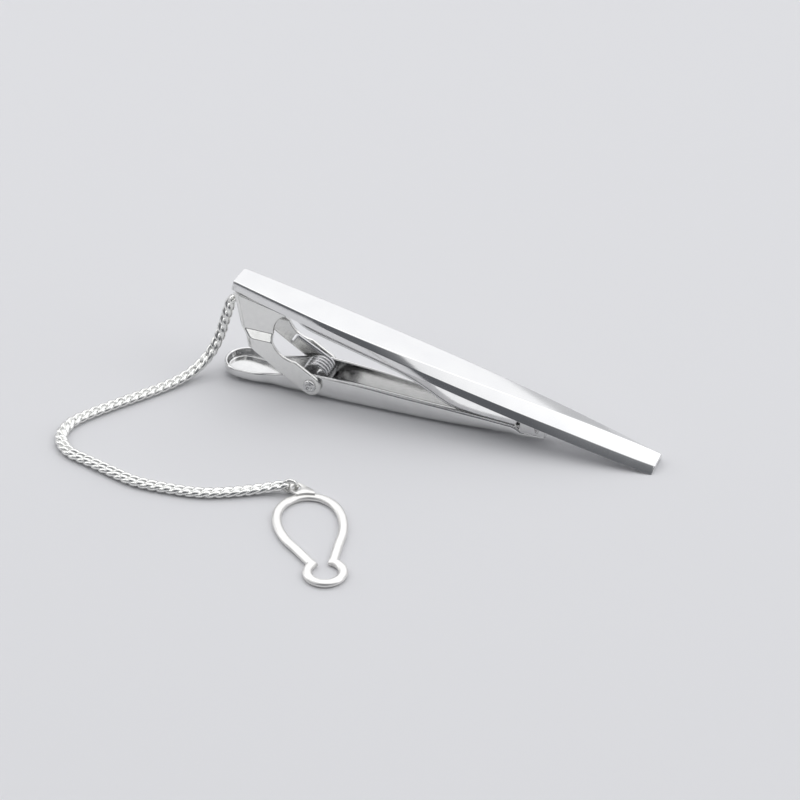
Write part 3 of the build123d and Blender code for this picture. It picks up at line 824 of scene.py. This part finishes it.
def tabReach(angle):
    # how far the tab's plate reaches from its hole, in a direction of the loop's own frame
    s = loopSet
    hole, root = Vector(s["tabAt"]), Vector((0, -s["tabAt"][1]))
    near, far = 0.0, 4 * s["tabRadius"]
    for halving in range(24):
        middle = (near + far) / 2
        spot = hole + Vector(polar(middle, angle))
        share = min(1.0, max(0.0, (spot - hole).dot(root - hole) / (root - hole).length_squared))
        onPlate = (spot - hole.lerp(root, share)).length < s["tabRadius"]
        if onPlate and spot.x < s["stripCurve"] * spot.y ** 2:
            near = middle
        else:
            far = middle
    return near


def makeTabAndRing():
    # the tab is a flat plate brazed on the strip, and the chain's end ring passes through it
    print("tab and end ring")
    s = loopSet
    low, high, soft = s["tabBottom"], s["tabBottom"] + s["tabThick"], s["tabRound"]
    inside = s["tabHole"]
    slight = 0.3 * soft  # the upper edges are turned over in two steps
    rings = []
    for i in range(s["tabSteps"]):
        angle = 360 * i / s["tabSteps"]
        outside = tabReach(angle)
        section = [(inside, low + soft), (inside, high - soft), (inside + slight, high - slight),
                   (inside + soft, high), (outside - soft, high),
                   (outside - slight, high - slight), (outside, high - soft),
                   (outside, low + soft), (outside - soft, low), (inside + soft, low)]
        ring = []
        for radius, z in section:
            x, y = polar(radius, angle)
            ring.append(loopPlace(s["tabAt"][0] + x, s["tabAt"][1] + y, z))
        rings.append(ring)
    bm = bmesh.new()
    stitch(bm, rings, True)
    tab = finishPiece(bm, "loopTab", "satinRhodium", leverSide, 60)
    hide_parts("loop_tab")
    # the ring stands on the table, turned to the chain's last stretch
    radius, wire = wireSet["endRingRadius"], wireSet["endRingWire"]
    last = place(*chainSet["route"][-2])
    hole = loopPlace(*s["tabAt"], 0)
    heading = Vector((hole.x - last.x, hole.y - last.y, 0)).normalized()
    height = radius + wire / 2
    drop = height - s["tabBottom"] - s["tabThick"] / 2
    reach = (radius ** 2 - drop ** 2) ** 0.5
    middle = Vector((hole.x, hole.y, height / 1000)) - heading * reach / 1000
    up = Vector((0, 0, 1))
    endRing = makeRing("endRing", middle, radius, wire, heading, up, heading.cross(up), leverSide)
    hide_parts("end_ring")
    return tab, endRing


chain, chainLength = makeChain()
makeAnchor()
loop = makeButtonLoop()
tab, endRing = makeTabAndRing()
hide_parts("safety_chain")
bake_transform(chain)
makeSpring()
makeFaceBar()
makeGripLeaf()
makeLever()
makeJawTeeth()
makeBracket()
makeRivet()


print("studio")
studioSet = {
    "floorColour": "#e3e3e5", "floorRough": 0.9, "floorShine": 0.1,
    "floorHalf": 3.0,  # metres
    "floorDrop": 0.01,  # millimetres under the clip, so that nothing lies in one plane
    # aim from the clip, distance, width and height in metres, and brightness of each soft box
    "softBoxes": {
        "backBox": {"from": (0.0, 0.72, 0.62), "away": 0.6, "size": (0.8, 0.46), "bright": 0.54},
        "topBox": {"from": (0.05, 0.14, 1.0), "away": 0.6, "size": (1.3, 0.66), "bright": 0.76},
        "frontBox": {"from": (-0.5, -0.62, 0.6), "away": 0.6, "size": (0.34, 0.22), "bright": 1.1},
        "leftBox": {"from": (-0.85, 0.0, 0.45), "away": 0.6, "size": (0.36, 0.5), "bright": 1.1},
        "rightBox": {"from": (0.85, 0.1, 0.5), "away": 0.6, "size": (0.36, 0.5), "bright": 1.0},
    },
    "skyBack": "#cecfd2", "skyFront": "#606266", "skySpan": (-0.7, 0.7),
}


def makeStudio():
    s = studioSet
    bm = bmesh.new()
    bmesh.ops.create_grid(bm, x_segments=1, y_segments=1, size=s["floorHalf"])
    mesh = bpy.data.meshes.new("floor")
    bm.to_mesh(mesh)
    bm.free()
    floor = bpy.data.objects.new("floor", mesh)
    floor.location = (0, 0, -s["floorDrop"] / 1000)
    bpy.context.scene.collection.objects.link(floor)
    material, tree, shader = newMaterial("paleCard")
    shader.inputs["Base Color"].default_value = hexColour(s["floorColour"])
    shader.inputs["Roughness"].default_value = s["floorRough"]
    shader.inputs["Specular IOR Level"].default_value = s["floorShine"]
    mesh.materials.append(material)
    for name, box in s["softBoxes"].items():
        lamp = bpy.data.lights.new(name, "AREA")
        lamp.shape = "RECTANGLE"
        lamp.size, lamp.size_y = box["size"]
        lamp.energy = box["bright"] * pi * box["size"][0] * box["size"][1]
        holder = bpy.data.objects.new(name, lamp)
        bpy.context.scene.collection.objects.link(holder)
        aim = Vector(box["from"]).normalized()
        holder.location = aim * box["away"]
        holder.rotation_mode = "QUATERNION"
        holder.rotation_quaternion = aim.to_track_quat("Z", "Y")
    world = bpy.data.worlds.new("studio")
    bpy.context.scene.world = world
    world.use_nodes = True
    tree = world.node_tree
    background = tree.nodes["Background"]
    direction = addNode(tree, "ShaderNodeTexCoord")
    split = addNode(tree, "ShaderNodeSeparateXYZ", {}, {"Vector": direction.outputs["Generated"]})
    share = addNode(tree, "ShaderNodeMapRange",
                    {"From Min": s["skySpan"][0], "From Max": s["skySpan"][1]},
                    {"Value": split.outputs["Y"]})
    ramp = addNode(tree, "ShaderNodeValToRGB", {}, {"Fac": share.outputs["Result"]})
    ramp.color_ramp.elements[0].color = hexColour(s["skyFront"])
    ramp.color_ramp.elements[1].color = hexColour(s["skyBack"])
    tree.links.new(ramp.outputs["Color"], background.inputs["Color"])


makeStudio()
bpy.context.scene.view_settings.view_transform = "Standard"
